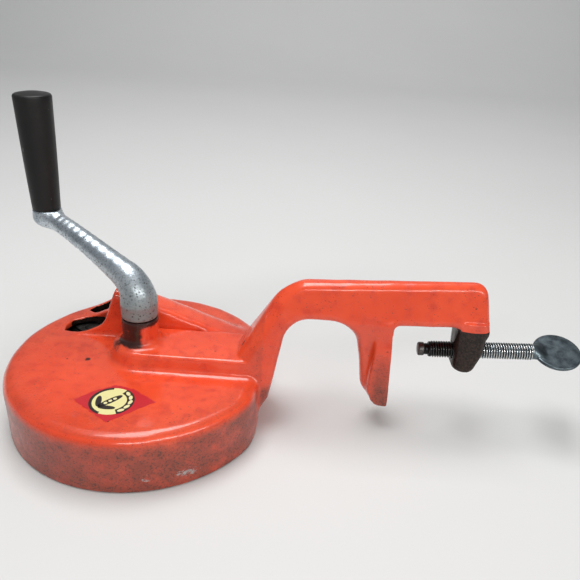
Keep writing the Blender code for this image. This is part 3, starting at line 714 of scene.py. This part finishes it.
def paint_material():
    """Worn orange-red enamel on cast iron, with chips, grime and bare patches, and painted shade
    under the crank, inside the lug and down the chutes.
    """
    p = Paintbox("red_enamel")
    mottle = p.noise(140, 4, 0.6)
    paint = p.mix(p.step(p.noise(22, 4), 0.3, 0.7), (0.70, 0.060, 0.018), (0.80, 0.084, 0.028))
    paint = p.mix(p.step(mottle, 0.45, 0.75), paint, (0.60, 0.046, 0.016))
    specks = p.times(p.spots(420, 0.17), p.step(p.noise(70, 4), 0.42, 0.56))
    pits = p.times(p.spots(110, 0.09), p.step(p.noise(34, 3), 0.5, 0.58))
    dots = p.most(p.times(specks, 0.8), pits)
    chips = p.step(p.ragged(p.attribute("edge"), p.noise(260, 4, 0.7), amount=1.1), 0.72, 0.86)
    # real grease round the boss and a few spots, plus painted shade in the band under the crank
    grime_and_shade = p.step(p.ragged(p.attribute("grime_and_shade"), p.noise(170, 5, 0.7), middle=0.55), 0.28, 0.72)
    # bare iron on the lug and the drum's ceiling, plus painted shade on the lug's inner faces and
    # down the chutes
    bare_and_shade = p.step(p.ragged(p.attribute("bare_and_shade"), p.noise(120, 4), amount=0.35), 0.44, 0.56)
    torn = p.noise(360, 6, 0.75, stretch=(1, 1, 2.0))
    flake = p.step(p.ragged(p.attribute("flake"), torn, amount=1.5), 0.50, 0.56)
    soot = p.times(p.attribute("soot"), p.step(p.noise(75, 5, 0.7), 0.05, 0.62))
    speckle = p.times(soot, p.step(p.noise(760, 3, 0.7), 0.52, 0.60))

    # near-black grease colour, which also paints the shade under the crank
    oil_and_shade = p.mix(p.noise(420, 3), (0.004, 0.003, 0.003), (0.030, 0.016, 0.013))
    primer = p.mix(p.noise(500, 3), (0.20, 0.17, 0.16), (0.52, 0.46, 0.44))
    rust = p.step(p.noise(620, 4, 0.7), 0.35, 0.65)
    # bare iron colour, also used as the painted shade
    iron = p.mix(rust, (0.008, 0.006, 0.005), (0.050, 0.027, 0.019))
    colour = p.mix(p.times(soot, 0.84), paint, (0.150, 0.034, 0.018))
    colour = p.mix(p.times(speckle, 0.75), colour, (0.045, 0.018, 0.014))
    colour = p.mix(p.times(dots, 0.85), colour, (0.05, 0.018, 0.012))
    colour = p.mix(p.times(grime_and_shade, 0.96), colour, oil_and_shade)
    colour = p.mix(chips, colour, (0.03, 0.020, 0.016))
    colour = p.mix(flake, colour, primer)
    colour = p.mix(bare_and_shade, colour, iron)

    worn = p.most(p.most(chips, bare_and_shade), p.most(flake, p.times(grime_and_shade, 0.8)))
    glossy = p.blend(p.step(mottle, 0.3, 0.8), 0.22, 0.33)
    rough = p.blend(p.most(worn, p.times(soot, 0.6)), glossy, 0.70)
    height = p.math('ADD', p.times(p.noise(900, 3, 0.6), 0.35), p.times(p.noise(260, 3), 0.8))
    height = p.math('SUBTRACT', height, p.times(p.most(worn, dots), 0.9))
    height = p.math('SUBTRACT', height, p.times(speckle, 0.6))
    metal = p.times(p.most(bare_and_shade, p.times(grime_and_shade, 0.7)), 0.85)
    return p.finish(colour, rough, p.bump(height, 0.00010, 0.55), metal,
                    Coat_Weight=0.45, Coat_Roughness=0.08, Specular_IOR_Level=0.42)


def tinned_material():
    """Tinned steel, rubbed bright along its length, pitted near the hub, painted a flat grey low
    down as a painted reflection, and near-black under the drum as painted shade.
    """
    p = Paintbox("tinned_steel")
    z = p.height_above_foot()
    fine = p.noise(800, 5, 0.75)
    # more pits low down (real), and a flat grey colour there as a painted reflection
    lower_pits_and_reflection = p.step(z, 0.108, 0.070)
    # painted shade: near-black on the disc and washer under the drum's top plate
    oil_and_shade_below = p.step(z, 0.052, 0.044)
    few_pits = p.step(p.noise(150, 3), 0.48, 0.62)
    many_pits = p.step(p.noise(220, 3), 0.28, 0.48)
    dark = p.times(p.spots(480, 0.34, 0.5), p.blend(lower_pits_and_reflection, few_pits, many_pits))
    colour = p.mix(p.step(p.noise(90, 4), 0.35, 0.7), (0.62, 0.68, 0.73), (0.44, 0.50, 0.55))
    colour = p.mix(p.times(p.step(fine, 0.47, 0.66), 0.75), colour, (0.10, 0.12, 0.14))
    # painted reflection: a flat grey on the crank's lower part
    colour = p.mix(p.times(lower_pits_and_reflection, 0.88), colour, (0.15, 0.18, 0.175))
    colour = p.mix(p.times(dark, 0.92), colour, (0.030, 0.028, 0.027))
    colour = p.mix(oil_and_shade_below, colour, (0.010, 0.010, 0.009))
    rough = p.most(p.blend(p.step(fine, 0.35, 0.75), 0.28, 0.48), p.times(oil_and_shade_below, 0.75))
    height = p.math('SUBTRACT', p.times(fine, 0.8), dark)
    metal = p.most(oil_and_shade_below, p.blend(dark, p.blend(lower_pits_and_reflection, 1.0, 0.2), 0.2))
    return p.finish(colour, rough, p.bump(height, 0.00008, 0.7), metal)


def steel_material(name, dark, light, rough_low, rough_high):
    """Plain steel: mottled, near-black where painted shade is stored, and bright on worn edges (on
    the thumb screw partly a painted highlight).
    """
    p = Paintbox(name)
    fine = p.noise(900, 4, 0.7)
    edge = p.step(p.ragged(p.attribute("edge"), p.noise(300, 3)), 0.45, 0.8)
    colour = p.mix(p.step(p.noise(160, 4), 0.3, 0.7), dark, light)
    colour = p.mix(p.times(p.step(fine, 0.55, 0.75), 0.5), colour, tuple(c * 0.4 for c in dark))
    # bright worn edges; on the thumb screw they are partly a painted highlight
    colour = p.mix(edge, colour, (0.75, 0.75, 0.74))
    # painted shade: near-black where the oil_and_shade attribute is stored
    colour = p.mix(p.times(p.attribute("oil_and_shade"), 0.88), colour, (0.012, 0.010, 0.009))
    rough = p.blend(edge, p.blend(p.step(fine, 0.3, 0.8), rough_low, rough_high), 0.22)
    return p.finish(colour, rough, p.bump(fine, 0.00004, 0.5), metallic=1.0)


def wood_material():
    """Black painted wood: a faint grain, light rubbing and a few pale scratches."""
    p = Paintbox("black_painted_wood")
    grain = p.noise(120, 4, 0.6, stretch=(1, 1, 0.06))
    dust = p.noise(40, 5, 0.7)
    lines = p.noise(420, 2, 0.5, stretch=(1, 0.12, 0.35))
    scratch = p.times(p.step(lines, 0.665, 0.69), p.step(p.noise(55, 2), 0.5, 0.62))
    colour = p.mix(p.step(dust, 0.45, 0.8), (0.006, 0.0055, 0.0055), (0.017, 0.015, 0.014))
    colour = p.mix(p.times(scratch, 0.75), colour, (0.30, 0.27, 0.24))
    rough = p.blend(p.step(dust, 0.3, 0.7), 0.34, 0.5)
    height = p.math('ADD', grain, p.times(scratch, -0.6))
    return p.finish(colour, rough, p.bump(height, 0.00012, 0.35), Specular_IOR_Level=0.3)


def printed_material(name, ink, worn):
    """Printed paper under varnish, rubbed here and there."""
    p = Paintbox(name)
    rub = p.step(p.noise(260, 5, 0.7), 0.56, 0.72)
    colour = p.mix(p.times(rub, 0.55), ink, worn)
    return p.finish(colour, p.blend(rub, 0.35, 0.55), p.bump(p.noise(500, 2), 0.00003, 0.4))


def set_material(obj, material):
    obj.data.materials.clear()
    obj.data.materials.append(material)
    for face in obj.data.polygons:
        face.material_index = 0


# ------------------------------------------------------------------ wear and painted shade, stored on the vertices


def vertex_arrays(obj):
    points = np.empty(len(obj.data.vertices) * 3)
    obj.data.vertices.foreach_get("co", points)
    normals = np.empty(len(obj.data.vertices) * 3)
    obj.data.vertex_normals.foreach_get("vector", normals)
    return points.reshape(-1, 3), normals.reshape(-1, 3)


def store(obj, name, values):
    layer = obj.data.attributes.new(name, 'FLOAT', 'POINT')
    layer.data.foreach_set("value", np.clip(values, 0, 1).astype(np.float32))


def edge_wear(obj, sharpest, passes=2):
    """How strongly each vertex stands out on a convex edge, from 0 to 1."""
    points, normals = vertex_arrays(obj)
    pairs = np.empty(len(obj.data.edges) * 2, np.int32)
    obj.data.edges.foreach_get("vertices", pairs)
    a, b = pairs.reshape(-1, 2).T
    count = np.bincount(np.r_[a, b], minlength=len(points)).clip(1)
    gap = points[b] - points[a]
    size = np.linalg.norm(gap, axis=1).clip(1e-9)
    bend_a = -np.einsum("ij,ij->i", gap, normals[a]) / size ** 2 * 2
    bend_b = np.einsum("ij,ij->i", gap, normals[b]) / size ** 2 * 2
    bend = np.bincount(a, bend_a, len(points)) + np.bincount(b, bend_b, len(points))
    bend /= count
    for _ in range(passes):
        around = np.bincount(a, bend[b], len(points)) + np.bincount(b, bend[a], len(points))
        bend = (bend + around / count) / 2
    return np.clip(bend / sharpest, 0, 1)


# Small grimy spots on top of the casting: x, y, size and strength.
MARKS = [(-32.5, -10.3, 1.6, 1.3), (56.2, 41.9, 1.8, 0.9), (65.6, 4.5, 2.6, 0.8),
         (67.1, -6.3, 1.8, 0.9)]


def grime_and_shade_on(x, y, z, around):
    """Black grease round the boss and a few spots, and painted shade: a dark band on the boss's top
    under the crank.
    """
    side = np.maximum(x * 0.87 - y * 0.5, x * 0.98 + y * 0.2) / np.maximum(around, 1)
    wiped = smooth_step(side, 0.60, 0.90) * smooth_step(-z, -65, -62)
    boss = smooth_step(-around, -17.5, -12) * smooth_step(z, 47, 51) * (1 - 0.85 * wiped) * 0.84
    # painted shade: a dark band over the boss's top, right under the crank
    shade_under_crank = smooth_step(z, 62, 66) * smooth_step(-around, -14, -11.7)
    left_end = np.exp(-((x + 14) / 7) ** 2 - ((y + 8) / 10) ** 2) * smooth_step(z, 44, 48) * 0.62
    grime_and_shade = np.maximum(np.maximum(boss, shade_under_crank), left_end)
    for mark_x, mark_y, size, amount in MARKS:
        spot = np.exp(-((x - mark_x) ** 2 + (y - mark_y) ** 2) / size ** 2) * amount
        grime_and_shade = np.maximum(grime_and_shade, spot * (z > 36))
    return grime_and_shade


def bare_iron_and_shade_on(x, y, z, around, normals):
    """No paint on the lug and the drum's ceiling, and painted shade in dark iron colour on the
    lug's inner faces and down inside the chutes.
    """
    lug_line = 76.8 - 0.5 * np.exp(-((x - 209) / 5) ** 2)
    lug = smooth_step(lug_line - z, -1.5, 1.5) * (x > 185)
    # painted shade: faces turned back along the arm, inside the lug
    shaded_lug_inside = smooth_step(-normals[:, 0], 0.3, 0.6) * (x > 185) * (z < 79)
    in_drum = around < 79.5
    ceiling = in_drum * (z < 34.5) * (z > 30)
    in_near = (y > 21.6) & (y < 44.2)
    in_far = (y > 48) & (y < 65.5)
    in_chute = in_drum & (x > -60) & (x < 42) & (z < 75) & (in_near | in_far)
    above_roof = x * math.sin(HOOD_SLOPE) + z * math.cos(HOOD_SLOPE) - HOOD_ROOF
    # painted shade: dark iron colour down inside the chutes, only the lower part on the near one
    shaded_chute_depth = smooth_step(-above_roof, 2.6, 3.3) * smooth_step(z, 30, 32) * (normals[:, 2] < 0.55)
    shaded_chute_depth = in_chute * shaded_chute_depth * np.where(y < 46, smooth_step(-z, -40.5, -38), 1)
    return np.maximum(np.maximum(lug, shaded_lug_inside), np.maximum(ceiling * 0.62, shaded_chute_depth * 0.8))


def stored_wear(casting):
    """Where the casting is chipped, grimy, bare, flaked or dirty, and where shade is painted on it.
    """
    points, normals = vertex_arrays(casting)
    x, y, z = (points / MM - (HUB_X, 0, 0)).T
    around = np.hypot(x, y)
    edge = edge_wear(casting, 900)
    jaw_tip = smooth_step(-z, -30, -18) * smooth_step(x, 140, 148)
    rim = smooth_step(-z, -2.6, -0.4) * smooth_step(around, 78, 84)
    jaw_edge = jaw_tip * 0.35 + edge * 0.4 * (x > 140)
    store(casting, "edge", np.maximum(np.maximum(edge * 0.55, rim * 0.75), jaw_edge))
    store(casting, "grime_and_shade", grime_and_shade_on(x, y, z, around))
    store(casting, "bare_and_shade", bare_iron_and_shade_on(x, y, z, around, normals))
    wall = smooth_step(around, 80, 84) * smooth_step(-z, -36, -28) * (x < 90)
    angle = np.degrees(np.arctan2(y, x))
    flake_a = np.exp(-((angle + 59.5) / 7.5) ** 2 - ((z - 8) / 4.5) ** 2)
    flake_b = np.exp(-((angle + 75) / 3.5) ** 2 - ((z - 9) / 5) ** 2)
    store(casting, "flake", np.maximum(flake_a * 0.60, flake_b * 0.48) * wall)
    jaw = smooth_step(x, 147, 154) * smooth_step(-x, -168, -163) * smooth_step(-z, -64, -30)
    top_rim = 0.25 * smooth_step(around, 60, 84) * (z > 36) * (x < 80)
    store(casting, "soot", np.maximum(wall * 0.95 + top_rim, jaw))


# ------------------------------------------------------------------ making the pieces

casting = make_housing()
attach(casting, "frame")
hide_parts("housing")
stored_wear(casting)
set_material(casting, paint_material())

crank = make_crank()
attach(crank, "rotor")
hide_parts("crank")
tinned = tinned_material()
set_material(crank, tinned)

grip = make_grip()
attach(grip, "grip")
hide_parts("grip")
set_material(grip, wood_material())

screw = make_screw()
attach(screw, "clamp_screw")
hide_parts("clamp_screw")
# worn edges painted bright, partly as a painted highlight along the plate's edge
store(screw, "edge", edge_wear(screw, 1600, 1))
screw_x = vertex_arrays(screw)[0][:, 0] / MM - HUB_X
# painted shade: near-black on the thread's end inside the lug
store(screw, "oil_and_shade", smooth_step(-screw_x, -206, -199))
blued = steel_material("blued_steel", (0.060, 0.075, 0.085), (0.16, 0.20, 0.22), 0.30, 0.48)
set_material(screw, blued)

button = make_button()
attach(button, "screw_tip")
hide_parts("screw_tip")
store(button, "edge", edge_wear(button, 2500, 0))
dark_steel = steel_material("dark_steel", (0.045, 0.042, 0.040), (0.13, 0.12, 0.115), 0.34,
                            0.55)
set_material(button, dark_steel)

for label, ink, worn in make_badge():
    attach(label, "frame")
    set_material(label, printed_material(label.name, ink, worn))

# painted shade: the knives get near-black steel so that they read as shade inside the chutes
knife_steel = steel_material("knife_steel", (0.050, 0.047, 0.044), (0.12, 0.115, 0.11), 0.35,
                             0.6)
for name, node in frame["nodes"].items():
    if name.startswith("knife_screw") or name in ("disc_washer", "disc_nut", "spindle", "grip_pin"):
        set_material(node, dark_steel)
    elif name.startswith("knife"):
        set_material(node, knife_steel)
    # tinned steel, near-black under the drum as painted shade
    elif name in ("cutter_disc", "thrust_washer"):
        set_material(node, tinned)

# ------------------------------------------------------------------ floor, light and camera

CAMERA_PLACE = Vector((98.5 + HUB_X, -331.1, 256.1)) * MM
CAMERA_PITCH = math.radians(26.354)
CAMERA_YAW = math.radians(-0.729)
CAMERA_ROLL = math.radians(3.473)
CAMERA_LENS = 37.24


def make_camera():
    data = bpy.data.cameras.new("camera")
    data.lens = CAMERA_LENS
    data.sensor_width = 36
    data.clip_start = 0.01
    camera = bpy.data.objects.new("camera", data)
    bpy.context.scene.collection.objects.link(camera)
    yaw = Matrix.Rotation(-CAMERA_YAW, 4, 'Z')
    pitch = Matrix.Rotation(math.pi / 2 - CAMERA_PITCH, 4, 'X')
    roll = Matrix.Rotation(CAMERA_ROLL, 4, 'Z')
    camera.matrix_world = Matrix.Translation(CAMERA_PLACE) @ yaw @ pitch @ roll
    bpy.context.scene.camera = camera


def make_floor():
    """A pale paper sweep: flat under the object, then curving up far behind it."""
    profile = [(-16, 0), (1.6, 0)] + arc((1.6, 1.2), 1.2, -90, 0, 24)[1:] + [(2.8, 6)]
    bm = bmesh.new()
    rows = [[bm.verts.new((x, y, z)) for y, z in profile] for x in (-14, 14)]
    for i in range(len(profile) - 1):
        bm.faces.new((rows[0][i], rows[1][i], rows[1][i + 1], rows[0][i + 1]))
    data = bpy.data.meshes.new("floor")
    bm.to_mesh(data)
    bm.free()
    data.shade_smooth()
    floor = bpy.data.objects.new("floor", data)
    floor.location.z = -0.0002
    bpy.context.scene.collection.objects.link(floor)
    p = Paintbox("pale_floor")
    shade = p.mix(p.noise(3, 3), (0.62, 0.62, 0.61), (0.66, 0.66, 0.65))
    floor.data.materials.append(p.finish(shade, 0.7))


def make_light(name, place, aim, size, power, colour=(1, 1, 1)):
    data = bpy.data.lights.new(name, 'AREA')
    data.shape = 'RECTANGLE'
    data.size, data.size_y = size
    data.energy = power
    data.color = colour
    light = bpy.data.objects.new(name, data)
    bpy.context.scene.collection.objects.link(light)
    light.location = place
    light.rotation_euler = (Vector(aim) - Vector(place)).to_track_quat('-Z', 'Y').to_euler()


def make_world():
    world = bpy.data.worlds.new("studio")
    world.use_nodes = True
    background = world.node_tree.nodes["Background"]
    background.inputs["Color"].default_value = (0.86, 0.89, 0.93, 1)
    background.inputs["Strength"].default_value = 0.31
    bpy.context.scene.world = world


make_floor()
make_world()
make_light("softbox_above", (-0.15, 0.05, 1.15), (0, 0, 0.05), (0.85, 0.5), 11.5)
make_light("strip_front", (0.5, -1.0, 0.60), (0, 0, 0.05), (1.6, 0.08), 8.5, (1.0, 0.98, 0.95))
make_light("backdrop_wash", (0, 0.9, 1.9), (0, 2.7, 0.7), (2.4, 0.5), 22)
make_camera()
bpy.context.scene.view_settings.view_transform = 'Standard'
